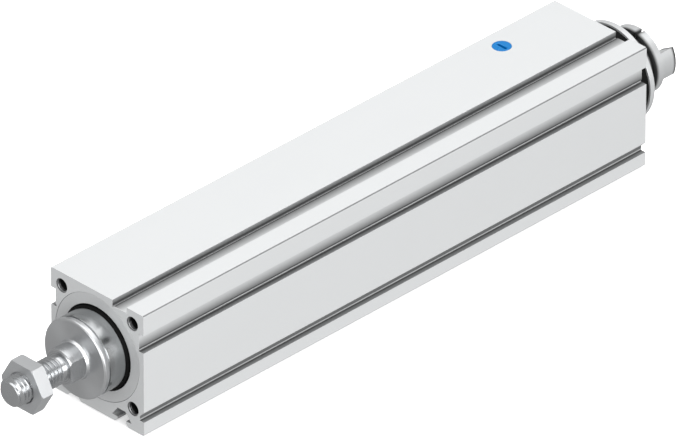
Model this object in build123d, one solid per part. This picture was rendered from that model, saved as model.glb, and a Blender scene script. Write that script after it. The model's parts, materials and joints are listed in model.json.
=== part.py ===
from build123d import *
import math
import os

# Electric cylinder: a ball screw pushes a hollow piston rod out of a square extruded housing.
# Millimetres. X is the rod axis, +X out of the rod end, +Z up with the flat base downwards.
# The origin is on the rod axis, in the plane of the housing's front face.

# Housing section
WIDTH = 33.0
FOOT_HEIGHT = 2.5
BODY_LENGTH = 180.0
EDGE_RADIUS = 0.5
BORE_WALL = 2.5
CAP_SHOULDER = 1.0
END_HOLE_COUNT = 4
END_HOLE_R = 2.0
REAR_HOLE_R = 1.65
END_HOLE_WALL = 0.8
END_HOLE_DEPTH = 14.0

# Sensor slots, one in the top and one in each side
SENSOR_SLOT_WIDTH = 5.15
SENSOR_SLOT_DEPTH = 1.65
SENSOR_SLOT_FROM_HOLE = 4.53
SLOT_RELIEF_WIDTH = 0.55
SLOT_RELIEF_DEPTH = 0.35

# Clamping grooves, low on each side
CLAMP_GROOVE_WIDTH = 2.9
CLAMP_GROOVE_DEPTH = 1.55
CLAMP_GROOVE_FOOT = 4.0

# Mounting slots for slot nuts, in the base
NUT_SLOT_FROM_HOLE = 4.08
NUT_SLOT_MOUTH = 3.1
NUT_SLOT_LIP = 1.6
NUT_SLOT_LIP_CHAMFER = 0.85
NUT_SLOT_CAVITY = 7.1
NUT_SLOT_TOP = 2.8
NUT_SLOT_DEPTH = 4.3

# Groove in the bore that keeps the piston from turning
KEYWAY_WIDTH = 5.0
KEYWAY_DEPTH = 0.75

# Clearances
SEAT_GAP = 0.02
RUNNING_GAP = 0.03
SLIDING_GAP = 0.05
KEY_GAP = 0.1
END_GAP = 0.5
RUN_OUT = 2.0

# Front bearing cap with its bush, wiper and seal
CAP_LENGTH = 19.0
CAP_EDGE = 0.15
CAP_THROAT_GAP = 0.3
WIPER_WALL = 0.85
WIPER_WIDTH = 3.0
WIPER_RECESS = 0.25
BUSH_WALL = 1.5
BUSH_LENGTH = 10.0
BUSH_BEHIND_WIPER = 0.8
CAP_SEAL_WIRE_R = 0.75
CAP_SEAL_GROOVE_WIDTH = 1.9
CAP_SEAL_SQUEEZE = 0.05
BUFFER_LENGTH = 2.5
BUFFER_GAP = 0.5
BUFFER_WALL = 1.9

# Piston rod and rod end
ROD_BELOW_BORE = 3.0
ROD_WALL = 3.0
SCREW_BELOW_ROD_BORE = 2.0
ROD_FACE = 7.95
RIM_LENGTH = 1.55
RIM_CHAMFER = 0.35
JOINT_WIDTH = 0.4
JOINT_DEPTH = 0.5
PLUG_SPIGOT_LENGTH = 11.0
NECK_BOSS_R = 5.45
NECK_BOSS_LENGTH = 0.9
NECK_R = 5.0
NECK_LENGTH = 5.35
NECK_CHAMFER = 0.45
SPANNER_FLATS = 8.2
UNDERCUT_R = 3.3
UNDERCUT_LENGTH = 1.4
THREAD_R = 4.0
THREAD_PITCH_R = 3.6
THREAD_LENGTH = 15.9
THREAD_CHAMFER = 0.8
JAM_NUT_SIDES = 6
JAM_NUT_ACROSS_FLATS = 13.0
JAM_NUT_THICKNESS = 4.0
JAM_NUT_FROM_TIP = 4.3
JAM_NUT_BEVEL_R = 7.05
JAM_NUT_BEVEL_LENGTH = 0.25

# Piston with its guide ring and magnet
PISTON_GAP = 0.4
PISTON_WALL = 3.3
GUIDE_RING_LENGTH = 6.0
GUIDE_RING_DEPTH = 1.25
GUIDE_RING_FROM_REAR = 8.0
MAGNET_LENGTH = 4.0
MAGNET_DEPTH = 1.5
MAGNET_BELOW_SURFACE = 0.1
MAGNET_FROM_REAR = 22.0
ROD_SOCKET_DEPTH = 8.0
ROD_STOP_LENGTH = 2.0
RETAINER_LEDGE = 1.2
RETAINER_LENGTH = 2.0
RETAINER_ABOVE_SCREW = 1.2

# Ball nut and screw
NUT_BODY_LENGTH = 20.0
RETURN_CAP_LENGTH = 2.0
SCREW_LEAD = 8.0
BALL_R = 1.0
BALL_ABOVE_SCREW = 0.35
BALL_SPACING = 0.2
BALL_TURNS = 2
SCREW_COLLAR_STEP = 0.6
SCREW_COLLAR_LENGTH = 2.0
GUIDE_PIN_STEP = 2.5
GUIDE_PIN_LENGTH = 6.0
SEAM_ANGLE = 137.0
SEAM_TRIES = 5

# Rear bearing cap with its bearings
CAP_LIP_LENGTH = 1.6
CAP_LIP_DEPTH = 1.8
BEARING_SHOULDER = 1.0
BEARING_HOUSE_WALL = 1.6
BEARING_WIDTH = 6.0
BEARING_COUNT = 2
BEARING_RING_WALL = 1.9
BEARING_BALL_R = 1.75
BALLS_PER_BEARING = 11
CAGE_WALL = 0.9
CAGE_SIDE_GAP = 0.5
CLAMP_RING_STEP = 0.6
CLAMP_RING_WALL = 3.0
CLAMP_RING_LENGTH = 2.5
LOCK_NUT_GAP = 0.8
LOCK_NUT_LENGTH = 4.0
LOCK_NUT_NOTCHES = 4
LOCK_NUT_NOTCH_WIDTH = 2.0
LOCK_NUT_NOTCH_DEPTH = 1.0
SPIGOT_BELOW_BORE = 0.1
SPIGOT_LENGTH = 6.0
SPIGOT_LIP_LENGTH = 1.6
SPIGOT_LIP_HEIGHT = 1.3
SPIGOT_SEAL_BELOW_LIP = 0.5

# Coupling hub on the drive end of the screw
DRIVE_R = 3.0
HUB_FROM_LOCK_NUT = 2.0
HUB_R = 8.2
HUB_RING_R = 9.5
HUB_RING_LENGTH = 2.8
HUB_RING_BEHIND_SPIGOT = 5.2
HUB_SLIT_WIDTH = 0.8
HUB_SLIT_ANGLE = 79.0
JAW_COUNT = 2
JAW_R = 8.7
JAW_BORE_R = 4.0
JAW_LENGTH = 5.6
JAW_SPREAD = 53.0
JAW_ANGLE = 3.5
JAW_CHAMFER = 0.5
CLAMP_SCREW_R = 1.25
CLAMP_SCREW_HEAD_R = 2.0
CLAMP_SCREW_HEAD_LENGTH = 2.2
CLAMP_SCREW_LENGTH = 7.4
CLAMP_SCREW_FROM_AXIS = 5.9
CLAMP_SCREW_FROM_RING = 2.6
CLAMP_SCREW_HEAD_SEAT = 2.6
CLAMP_SCREW_SIDES = 6
CLAMP_SCREW_KEY = 2.0
CLAMP_SCREW_KEY_DEPTH = 1.2

# Filler plug in the top
FILLER_HEAD_R = 2.6
FILLER_HEAD_LENGTH = 1.2
FILLER_SHANK_R = 2.0
FILLER_LENGTH = 3.6
FILLER_FROM_REAR = 25.6
FILLER_FROM_SIDE = 6.3
FILLER_SLOT_WIDTH = 0.8
FILLER_SLOT_LENGTH = 3.4
FILLER_SLOT_DEPTH = 0.8
FILLER_CHANNEL_R = 1.0

# Sizes that follow from others, from the housing's bore inwards
BORE_R = WIDTH / 2 - BORE_WALL
CAP_SEAT_R = BORE_R + CAP_SHOULDER
END_HOLE_CIRCLE_R = CAP_SEAT_R + END_HOLE_WALL + END_HOLE_R
END_HOLE_SPACING = 2 * END_HOLE_CIRCLE_R * math.cos(math.pi / END_HOLE_COUNT)
SENSOR_SLOT_OFFSET = END_HOLE_SPACING / 2 - SENSOR_SLOT_FROM_HOLE
NUT_SLOT_OFFSET = END_HOLE_SPACING / 2 - NUT_SLOT_FROM_HOLE
BUFFER_R = BORE_R - BUFFER_GAP
ROD_R = BORE_R - ROD_BELOW_BORE
ROD_BORE_R = ROD_R - ROD_WALL
WIPER_R = ROD_R + WIPER_WALL
BUSH_R = ROD_R + BUSH_WALL
PISTON_R = BORE_R - PISTON_GAP
NUT_R = PISTON_R - PISTON_WALL
RETAINER_R = NUT_R + RETAINER_LEDGE
SCREW_R = ROD_BORE_R - SCREW_BELOW_ROD_BORE
SCREW_COLLAR_R = SCREW_R + SCREW_COLLAR_STEP
GUIDE_PIN_R = SCREW_R - GUIDE_PIN_STEP
RETAINER_BORE_R = SCREW_R + RETAINER_ABOVE_SCREW
BALL_CIRCLE_R = SCREW_R + BALL_ABOVE_SCREW
BALLS_PER_TURN = math.floor(math.tau * BALL_CIRCLE_R / (2 * BALL_R + BALL_SPACING))
SPIGOT_R = BORE_R - SPIGOT_BELOW_BORE
SPIGOT_CORE_R = SPIGOT_R - SPIGOT_LIP_HEIGHT
BEARING_R = SPIGOT_CORE_R - BEARING_HOUSE_WALL
BEARING_BORE_R = SCREW_R - BEARING_SHOULDER
BEARING_PITCH_R = (BEARING_BORE_R + BEARING_R) / 2
CAP_LIP_R = BEARING_R - CAP_LIP_DEPTH
CLAMP_RING_R = BEARING_R + CLAMP_RING_STEP
CLAMP_RING_BORE_R = CLAMP_RING_R - CLAMP_RING_WALL
LOCK_NUT_R = CLAMP_RING_BORE_R - LOCK_NUT_GAP

# The piston holds the ball nut, and its travel is what the body's length leaves
NUT_LENGTH = NUT_BODY_LENGTH + 2 * RETURN_CAP_LENGTH
PISTON_LENGTH = RETAINER_LENGTH + NUT_LENGTH + ROD_STOP_LENGTH + ROD_SOCKET_DEPTH
STROKE = BODY_LENGTH - 2 * (CAP_LENGTH + BUFFER_LENGTH + END_GAP) - PISTON_LENGTH

# Places that follow from the sizes
FRONT = 0.0
REAR = FRONT - BODY_LENGTH
SIDE = WIDTH / 2
TOP = WIDTH / 2
BASE = -WIDTH / 2 - FOOT_HEIGHT
FILLER_X = REAR + FILLER_FROM_REAR
FILLER_Y = FILLER_FROM_SIDE - SIDE
FRONT_CAP_REAR = FRONT - CAP_LENGTH
REAR_CAP_FRONT = REAR + CAP_LENGTH
PISTON_REAR = REAR_CAP_FRONT + BUFFER_LENGTH + END_GAP
PISTON_FRONT = PISTON_REAR + PISTON_LENGTH
NUT_REAR = PISTON_REAR + RETAINER_LENGTH
NUT_FRONT = NUT_REAR + NUT_LENGTH
ROD_REAR = PISTON_FRONT - ROD_SOCKET_DEPTH
ROD_FRONT = ROD_FACE - RIM_LENGTH - JOINT_WIDTH
NECK_FRONT = ROD_FACE + NECK_LENGTH
THREAD_TIP = NECK_FRONT + UNDERCUT_LENGTH + THREAD_LENGTH
JAM_NUT_FRONT = THREAD_TIP - JAM_NUT_FROM_TIP
JAM_NUT_REAR = JAM_NUT_FRONT - JAM_NUT_THICKNESS
BEARING_FRONT = REAR_CAP_FRONT - CAP_LIP_LENGTH
BEARING_REAR = BEARING_FRONT - BEARING_COUNT * BEARING_WIDTH
LOCK_NUT_REAR = BEARING_REAR - LOCK_NUT_LENGTH
SPIGOT_REAR = REAR - SPIGOT_LENGTH
SPIGOT_LIP_FRONT = SPIGOT_REAR + SPIGOT_LIP_LENGTH
HUB_FRONT = LOCK_NUT_REAR - HUB_FROM_LOCK_NUT
HUB_RING_FRONT = SPIGOT_REAR - HUB_RING_BEHIND_SPIGOT
HUB_REAR = HUB_RING_FRONT - HUB_RING_LENGTH
JAW_REAR = HUB_REAR - JAW_LENGTH
CLAMP_SCREW_X = HUB_RING_FRONT + CLAMP_SCREW_FROM_RING
SCREW_REAR = BEARING_FRONT + SCREW_COLLAR_LENGTH

# The screw ends inside the rod, just behind where the nut's front stands at full stroke
SCREW_FRONT = NUT_FRONT + STROKE + GUIDE_PIN_LENGTH
GUIDE_PIN_REAR = SCREW_FRONT
GUIDE_PIN_FRONT = GUIDE_PIN_REAR + GUIDE_PIN_LENGTH

# The groove of the screw and that of the nut are one helix, and the screw's is whole turns long
CIRCUIT_REAR = (NUT_REAR + NUT_FRONT - BALL_TURNS * SCREW_LEAD) / 2
GROOVE_TURNS_BEHIND = math.floor((CIRCUIT_REAR - SCREW_REAR - BALL_R) / SCREW_LEAD)
GROOVE_REAR = CIRCUIT_REAR - GROOVE_TURNS_BEHIND * SCREW_LEAD
GROOVE_TURNS = math.ceil((SCREW_FRONT - GROOVE_REAR) / SCREW_LEAD)
GROOVE_R = BALL_R + RUNNING_GAP


def turned(*outline):
    """A body of revolution about the X axis, from the corners (x, radius) of its half section."""
    corners = [(x, 0, radius) for x, radius in outline]
    return revolve(make_face(Polyline(*corners, close=True)), axis=Axis.X)


def disc(rear, front, radius):
    """A plain cylinder about the X axis."""
    return Plane.YZ.offset((rear + front) / 2) * Cylinder(radius, front - rear)


def ring(rear, front, inner_r, outer_r):
    """A plain ring about the X axis."""
    return disc(rear, front, outer_r) - disc(rear, front, inner_r)


def block(x_range, y_range, z_range):
    """A box between two values on each axis."""
    ranges = (x_range, y_range, z_range)
    centre = [(low + high) / 2 for low, high in ranges]
    return Pos(*centre) * Box(*[high - low for low, high in ranges])


def torus(x, mean_r, wire_r):
    """A ring of round section about the X axis."""
    return Plane.YZ.offset(x) * Torus(mean_r, wire_r)


def helical_groove(rear, length):
    """The round thread groove about the X axis, starting on the +Y side at its rear end."""
    path = Helix(pitch=SCREW_LEAD, height=length, radius=BALL_CIRCLE_R)
    section = Plane(origin=path @ 0, x_dir=(1, 0, 0), z_dir=path % 0) * Circle(GROOVE_R)
    return Plane.YZ.offset(rear) * sweep(section, path=path, is_frenet=True)


def spread(shape, count, first_angle=0.0):
    """Copies of a shape at even angles about the X axis."""
    return [Rot(first_angle + 360 * k / count, 0, 0) * shape for k in range(count)]


def write(name, *shapes):
    solids = [solid for shape in shapes for solid in shape.solids()]
    export_step(solids[0] if len(solids) == 1 else Compound(solids), f"parts/{name}.step")


# Housing

def sensor_slot():
    """The side slot's section, open towards +Y, with a relief beside its lower wall."""
    half = SENSOR_SLOT_WIDTH / 2
    floor = SIDE - SENSOR_SLOT_DEPTH
    relief_top = SLOT_RELIEF_WIDTH - half
    relief_floor = floor - SLOT_RELIEF_DEPTH
    outline = Polyline(
        (SIDE + RUN_OUT, half),
        (floor, half),
        (floor, relief_top),
        (relief_floor, relief_top),
        (relief_floor, -half),
        (SIDE + RUN_OUT, -half),
        close=True,
    )
    return Pos(0, SENSOR_SLOT_OFFSET) * make_face(outline)


def clamp_groove():
    """The groove's section, open towards +Y, with a sloping upper flank."""
    low = BASE + CLAMP_GROOVE_FOOT
    high = low + CLAMP_GROOVE_WIDTH
    floor = SIDE - CLAMP_GROOVE_DEPTH
    outline = Polyline(
        (SIDE + RUN_OUT, high + RUN_OUT),
        (floor, high - CLAMP_GROOVE_DEPTH),
        (floor, low),
        (SIDE + RUN_OUT, low),
        close=True,
    )
    return make_face(outline)


def nut_slot():
    """The mounting slot's section, open downwards, on the +Y side."""
    mouth = NUT_SLOT_MOUTH / 2
    flare = mouth + NUT_SLOT_LIP_CHAMFER
    right = [
        (flare, BASE - RUN_OUT),
        (flare, BASE),
        (mouth, BASE + NUT_SLOT_LIP_CHAMFER),
        (mouth, BASE + NUT_SLOT_LIP),
        (NUT_SLOT_CAVITY / 2, BASE + NUT_SLOT_LIP),
        (NUT_SLOT_TOP / 2, BASE + NUT_SLOT_DEPTH),
    ]
    left = [(-y, z) for y, z in reversed(right)]
    return Pos(NUT_SLOT_OFFSET, 0) * make_face(Polyline(*right, *left, close=True))


def housing_section():
    section = Pos(0, (TOP + BASE) / 2) * RectangleRounded(WIDTH, TOP - BASE, EDGE_RADIUS)
    section -= Circle(BORE_R)
    section -= Pos(0, -BORE_R) * Rectangle(KEYWAY_WIDTH, 2 * KEYWAY_DEPTH)
    for cut in (sensor_slot(), clamp_groove(), nut_slot()):
        section -= cut
        section -= mirror(cut, Plane.YZ)
    # The top slot is the side slot mirrored in the diagonal through the upper edge
    diagonal = Plane(origin=(0, 0, 0), z_dir=(1, -1, 0))
    return section - Pos(0, TOP - SIDE) * mirror(sensor_slot(), diagonal)


def end_holes(rear, front, radius):
    half = END_HOLE_SPACING / 2
    hole = disc(rear, front, radius)
    return [Pos(0, y, z) * hole for y in (-half, half) for z in (-half, half)]


def filler_at(top, bottom, radius):
    """A cylinder on the filler plug's axis, between two heights."""
    centre = Pos(FILLER_X, FILLER_Y, (top + bottom) / 2)
    return centre * Cylinder(radius, top - bottom)


def profile_housing():
    body = extrude(Plane.YZ.offset(REAR) * housing_section(), amount=BODY_LENGTH)
    body -= disc(FRONT_CAP_REAR, FRONT, CAP_SEAT_R)
    body -= disc(REAR, REAR_CAP_FRONT, CAP_SEAT_R)
    holes = end_holes(FRONT - END_HOLE_DEPTH, FRONT, END_HOLE_R)
    holes += end_holes(REAR, REAR + END_HOLE_DEPTH, REAR_HOLE_R)
    for hole in holes:
        body -= hole
    body -= filler_at(TOP, TOP - FILLER_HEAD_LENGTH, FILLER_HEAD_R + SEAT_GAP)
    body -= filler_at(TOP, TOP - FILLER_LENGTH, FILLER_SHANK_R + SEAT_GAP)
    return body - filler_at(TOP, 0, FILLER_CHANNEL_R)


def filler_plug():
    plug = filler_at(TOP, TOP - FILLER_HEAD_LENGTH, FILLER_HEAD_R)
    plug += filler_at(TOP, TOP - FILLER_LENGTH + SEAT_GAP, FILLER_SHANK_R)
    slot = Box(FILLER_SLOT_WIDTH, FILLER_SLOT_LENGTH, 2 * FILLER_SLOT_DEPTH)
    return plug - Pos(FILLER_X, FILLER_Y, TOP) * slot


# Front end

THROAT_R = ROD_R + CAP_THROAT_GAP
WIPER_REAR = FRONT - WIPER_WIDTH
BUSH_FRONT = WIPER_REAR - BUSH_BEHIND_WIPER
BUSH_REAR = BUSH_FRONT - BUSH_LENGTH
CAP_SEAL_GROOVE_R = CAP_SEAT_R - CAP_SEAL_SQUEEZE - 2 * CAP_SEAL_WIRE_R


def cap_seal_groove(x):
    half = CAP_SEAL_GROOVE_WIDTH / 2
    return ring(x - half, x + half, CAP_SEAL_GROOVE_R, CAP_SEAT_R)


def front_bearing_cap():
    outer = CAP_SEAT_R - SEAT_GAP
    cap = turned(
        (FRONT, WIPER_R),
        (FRONT, outer - CAP_EDGE),
        (FRONT - CAP_EDGE, outer),
        (FRONT_CAP_REAR, outer),
        (FRONT_CAP_REAR, THROAT_R),
        (BUSH_REAR, THROAT_R),
        (BUSH_REAR, BUSH_R),
        (BUSH_FRONT, BUSH_R),
        (BUSH_FRONT, THROAT_R),
        (WIPER_REAR, THROAT_R),
        (WIPER_REAR, WIPER_R),
    )
    return cap - cap_seal_groove(FRONT - CAP_LENGTH / 2)


def wiper_ring():
    return ring(WIPER_REAR, FRONT - WIPER_RECESS, ROD_R + RUNNING_GAP, WIPER_R - SEAT_GAP)


def rod_guide_bush():
    return ring(BUSH_REAR, BUSH_FRONT, ROD_R + RUNNING_GAP, BUSH_R - SEAT_GAP)


def cap_seal_ring(x):
    return torus(x, CAP_SEAT_R - CAP_SEAL_SQUEEZE - CAP_SEAL_WIRE_R, CAP_SEAL_WIRE_R)


def buffer_ring(rear):
    return ring(rear, rear + BUFFER_LENGTH, BUFFER_R - BUFFER_WALL, BUFFER_R)


# Piston rod

def piston_rod():
    return ring(ROD_REAR, ROD_FRONT, ROD_BORE_R, ROD_R)


def rod_end_plug():
    """The rod's end piece. Its thread meets the nut's at their shared pitch radius."""
    rim_r = ROD_R - RIM_CHAMFER
    flats = SPANNER_FLATS / 2
    boss_front = ROD_FACE + NECK_BOSS_LENGTH
    plug = turned(
        (ROD_FRONT - PLUG_SPIGOT_LENGTH, 0),
        (ROD_FRONT - PLUG_SPIGOT_LENGTH, ROD_BORE_R - SEAT_GAP),
        (ROD_FRONT, ROD_BORE_R - SEAT_GAP),
        (ROD_FRONT, ROD_R - JOINT_DEPTH),
        (ROD_FRONT + JOINT_WIDTH, ROD_R - JOINT_DEPTH),
        (ROD_FRONT + JOINT_WIDTH, ROD_R),
        (ROD_FACE - RIM_CHAMFER, ROD_R),
        (ROD_FACE, rim_r),
        (ROD_FACE, NECK_BOSS_R),
        (boss_front, NECK_BOSS_R),
        (boss_front, NECK_R),
        (NECK_FRONT - NECK_CHAMFER, NECK_R),
        (NECK_FRONT, NECK_R - NECK_CHAMFER),
        (NECK_FRONT, UNDERCUT_R),
        (NECK_FRONT + UNDERCUT_LENGTH, UNDERCUT_R),
        (NECK_FRONT + UNDERCUT_LENGTH, THREAD_R),
        (JAM_NUT_REAR, THREAD_R),
        (JAM_NUT_REAR, THREAD_PITCH_R),
        (JAM_NUT_FRONT, THREAD_PITCH_R),
        (JAM_NUT_FRONT, THREAD_R),
        (THREAD_TIP - THREAD_CHAMFER, THREAD_R),
        (THREAD_TIP, THREAD_R - THREAD_CHAMFER),
        (THREAD_TIP, 0),
    )
    cheek = block((boss_front, NECK_FRONT), (flats, NECK_R), (-NECK_R, NECK_R))
    return plug - cheek - mirror(cheek, Plane.XZ)


def jam_nut():
    flat_r = JAM_NUT_ACROSS_FLATS / 2
    hexagon = RegularPolygon(flat_r, JAM_NUT_SIDES, major_radius=False)
    nut = extrude(Plane.YZ.offset(JAM_NUT_REAR) * hexagon, amount=JAM_NUT_THICKNESS)
    corner_r = flat_r / math.cos(math.pi / JAM_NUT_SIDES)
    bore_r = THREAD_PITCH_R + SEAT_GAP
    envelope = turned(
        (JAM_NUT_REAR, bore_r),
        (JAM_NUT_REAR, JAM_NUT_BEVEL_R),
        (JAM_NUT_REAR + JAM_NUT_BEVEL_LENGTH, corner_r),
        (JAM_NUT_FRONT - JAM_NUT_BEVEL_LENGTH, corner_r),
        (JAM_NUT_FRONT, JAM_NUT_BEVEL_R),
        (JAM_NUT_FRONT, bore_r),
    )
    return nut & envelope


# Piston

GUIDE_RING_REAR = PISTON_REAR + GUIDE_RING_FROM_REAR
MAGNET_REAR = PISTON_REAR + MAGNET_FROM_REAR


def piston():
    body = turned(
        (PISTON_REAR, RETAINER_R),
        (PISTON_REAR, PISTON_R),
        (PISTON_FRONT, PISTON_R),
        (PISTON_FRONT, ROD_R + SEAT_GAP),
        (ROD_REAR, ROD_R + SEAT_GAP),
        (ROD_REAR, ROD_BORE_R),
        (NUT_FRONT, ROD_BORE_R),
        (NUT_FRONT, NUT_R + SEAT_GAP),
        (NUT_REAR, NUT_R + SEAT_GAP),
        (NUT_REAR, RETAINER_R),
    )
    guide_floor = PISTON_R - GUIDE_RING_DEPTH
    magnet_floor = PISTON_R - MAGNET_DEPTH
    body -= ring(GUIDE_RING_REAR, GUIDE_RING_REAR + GUIDE_RING_LENGTH, guide_floor, PISTON_R)
    return body - ring(MAGNET_REAR, MAGNET_REAR + MAGNET_LENGTH, magnet_floor, PISTON_R)


def guide_ring():
    """The sliding ring, with the key that runs in the bore's groove."""
    rear = GUIDE_RING_REAR
    front = rear + GUIDE_RING_LENGTH
    floor = PISTON_R - GUIDE_RING_DEPTH + SEAT_GAP
    key_half = KEYWAY_WIDTH / 2 - SLIDING_GAP
    key_foot = BORE_R + KEYWAY_DEPTH - KEY_GAP
    key = block((rear, front), (-key_half, key_half), (-key_foot, -(PISTON_R - SEAT_GAP)))
    return ring(rear, front, floor, BORE_R - SLIDING_GAP) + key


def magnet_ring():
    floor = PISTON_R - MAGNET_DEPTH + SEAT_GAP
    return ring(MAGNET_REAR, MAGNET_REAR + MAGNET_LENGTH, floor, PISTON_R - MAGNET_BELOW_SURFACE)


def nut_retainer():
    return ring(PISTON_REAR, NUT_REAR, RETAINER_BORE_R, RETAINER_R - SEAT_GAP)


# Ball nut and screw

def nut_bore_r():
    """The nut's bore clears the screw by as much as the ball groove leaves on either side."""
    return 2 * BALL_CIRCLE_R - SCREW_R - 4 * RUNNING_GAP


def ball_nut():
    rear = NUT_REAR + RETURN_CAP_LENGTH
    body = ring(rear, rear + NUT_BODY_LENGTH, nut_bore_r(), NUT_R)
    return body - helical_groove(CIRCUIT_REAR, BALL_TURNS * SCREW_LEAD)


def ball_return_caps():
    """Ring caps at both ends of the nut, which lead the balls back."""
    inner = SCREW_R + 4 * RUNNING_GAP
    return [
        ring(rear, rear + RETURN_CAP_LENGTH, inner, NUT_R)
        for rear in (NUT_REAR, NUT_FRONT - RETURN_CAP_LENGTH)
    ]


def nut_balls():
    balls = []
    for k in range(1, BALLS_PER_TURN * BALL_TURNS):
        turn = k / BALLS_PER_TURN
        place = Pos(CIRCUIT_REAR + turn * SCREW_LEAD, BALL_CIRCLE_R, 0)
        balls.append(Rot(360 * turn, 0, 0) * place * Sphere(BALL_R))
    return balls


def ball_screw():
    """The screw. The groove's cut can fail for some places of the shaft's seam, so more are tried."""
    shaft = turned(
        (HUB_REAR, 0),
        (HUB_REAR, DRIVE_R),
        (LOCK_NUT_REAR, DRIVE_R),
        (LOCK_NUT_REAR, BEARING_BORE_R - SEAT_GAP),
        (BEARING_FRONT, BEARING_BORE_R - SEAT_GAP),
        (BEARING_FRONT, SCREW_COLLAR_R),
        (SCREW_REAR, SCREW_COLLAR_R),
        (SCREW_REAR, SCREW_R),
        (SCREW_FRONT, SCREW_R),
        (SCREW_FRONT, GUIDE_PIN_R),
        (GUIDE_PIN_FRONT, GUIDE_PIN_R),
        (GUIDE_PIN_FRONT, 0),
    )
    groove = helical_groove(GROOVE_REAR, GROOVE_TURNS * SCREW_LEAD)
    for k in range(SEAM_TRIES):
        screw = Rot(SEAM_ANGLE * (k + 1), 0, 0) * shaft - groove
        if shaft.volume - screw.volume > GROOVE_R ** 2 * SCREW_LEAD:
            break
    return screw


def screw_guide_ring():
    """The plain ring that centres the screw's free end in the hollow rod."""
    inner = GUIDE_PIN_R + SEAT_GAP
    return ring(GUIDE_PIN_REAR, GUIDE_PIN_FRONT, inner, ROD_BORE_R - SLIDING_GAP)


# Rear end

def rear_bearing_cap():
    outer = CAP_SEAT_R - SEAT_GAP
    cap = turned(
        (REAR_CAP_FRONT, CAP_LIP_R),
        (REAR_CAP_FRONT, outer),
        (REAR, outer),
        (REAR, SPIGOT_CORE_R),
        (SPIGOT_LIP_FRONT, SPIGOT_CORE_R),
        (SPIGOT_LIP_FRONT, SPIGOT_R),
        (SPIGOT_REAR, SPIGOT_R),
        (SPIGOT_REAR, CLAMP_RING_R),
        (BEARING_REAR, CLAMP_RING_R),
        (BEARING_REAR, BEARING_R + SEAT_GAP),
        (BEARING_FRONT, BEARING_R + SEAT_GAP),
        (BEARING_FRONT, CAP_LIP_R),
    )
    return cap - cap_seal_groove(REAR + CAP_LENGTH / 2)


def spigot_seal():
    """The black seal around the spigot, between the housing's end and the spigot's lip."""
    outer = SPIGOT_R - SPIGOT_SEAL_BELOW_LIP
    return ring(SPIGOT_LIP_FRONT, REAR, SPIGOT_CORE_R + SEAT_GAP, outer)


def bearing_middles():
    return [BEARING_FRONT - (k + 0.5) * BEARING_WIDTH for k in range(BEARING_COUNT)]


def bearing_track(x):
    return torus(x, BEARING_PITCH_R, BEARING_BALL_R + RUNNING_GAP)


def bearing_rings(inner_r, outer_r):
    half = BEARING_WIDTH / 2
    return [ring(x - half, x + half, inner_r, outer_r) - bearing_track(x) for x in bearing_middles()]


def bearing_balls():
    balls = []
    for x in bearing_middles():
        balls += spread(Pos(x, BEARING_PITCH_R, 0) * Sphere(BEARING_BALL_R), BALLS_PER_BEARING)
    return balls


def bearing_cages():
    half_width = BEARING_WIDTH / 2 - CAGE_SIDE_GAP
    inner = BEARING_PITCH_R - CAGE_WALL / 2
    outer = BEARING_PITCH_R + CAGE_WALL / 2
    cages = []
    for x in bearing_middles():
        cage = ring(x - half_width, x + half_width, inner, outer)
        pocket = Pos(x, BEARING_PITCH_R, 0) * Sphere(BEARING_BALL_R + SLIDING_GAP)
        for cut in spread(pocket, BALLS_PER_BEARING):
            cage -= cut
        cages.append(cage)
    return cages


def bearing_clamp_ring():
    rear = BEARING_REAR - CLAMP_RING_LENGTH
    return ring(rear, BEARING_REAR, CLAMP_RING_BORE_R, CLAMP_RING_R - SEAT_GAP)


def bearing_lock_nut():
    nut = ring(LOCK_NUT_REAR, BEARING_REAR, BEARING_BORE_R, LOCK_NUT_R)
    half = LOCK_NUT_NOTCH_WIDTH / 2
    notch_floor = LOCK_NUT_R - LOCK_NUT_NOTCH_DEPTH
    notch = block((LOCK_NUT_REAR, BEARING_REAR), (notch_floor, LOCK_NUT_R), (-half, half))
    for cut in spread(notch, LOCK_NUT_NOTCHES):
        nut -= cut
    return nut


def jaws():
    """The coupling jaws: two sectors of a thick tube behind the hub."""
    tube = turned(
        (HUB_REAR, JAW_BORE_R),
        (HUB_REAR, JAW_R),
        (JAW_REAR + JAW_CHAMFER, JAW_R),
        (JAW_REAR, JAW_R - JAW_CHAMFER),
        (JAW_REAR, JAW_BORE_R),
    )
    half = math.radians(JAW_SPREAD / 2)
    reach = 2 * JAW_R
    y = reach * math.cos(half)
    z = reach * math.sin(half)
    wedge = make_face(Polyline((0, 0), (y, -z), (y, z), close=True))
    sector = extrude(Plane.YZ.offset(JAW_REAR) * wedge, amount=JAW_LENGTH)
    return spread(tube & sector, JAW_COUNT, JAW_ANGLE)


def on_clamp_screw(low, high, radius):
    """A cylinder on the clamp screw's axis, which crosses the slit."""
    centre = Pos(CLAMP_SCREW_X, CLAMP_SCREW_FROM_AXIS, (low + high) / 2)
    return Rot(HUB_SLIT_ANGLE, 0, 0) * centre * Cylinder(radius, high - low)


def coupling_hub():
    hub = disc(HUB_REAR, HUB_FRONT, HUB_R) + disc(HUB_REAR, HUB_RING_FRONT, HUB_RING_R)
    for jaw in jaws():
        hub += jaw
    half = HUB_SLIT_WIDTH / 2
    slit = block((HUB_REAR, HUB_FRONT), (0, HUB_RING_R), (-half, half))
    hub -= disc(HUB_REAR, HUB_FRONT, DRIVE_R + SEAT_GAP)
    hub -= Rot(HUB_SLIT_ANGLE, 0, 0) * slit
    hub -= on_clamp_screw(-HUB_RING_R, HUB_RING_R, CLAMP_SCREW_R + SEAT_GAP)
    head_pocket_r = CLAMP_SCREW_HEAD_R + SLIDING_GAP
    return hub - on_clamp_screw(CLAMP_SCREW_HEAD_SEAT, HUB_RING_R, head_pocket_r)


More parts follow.
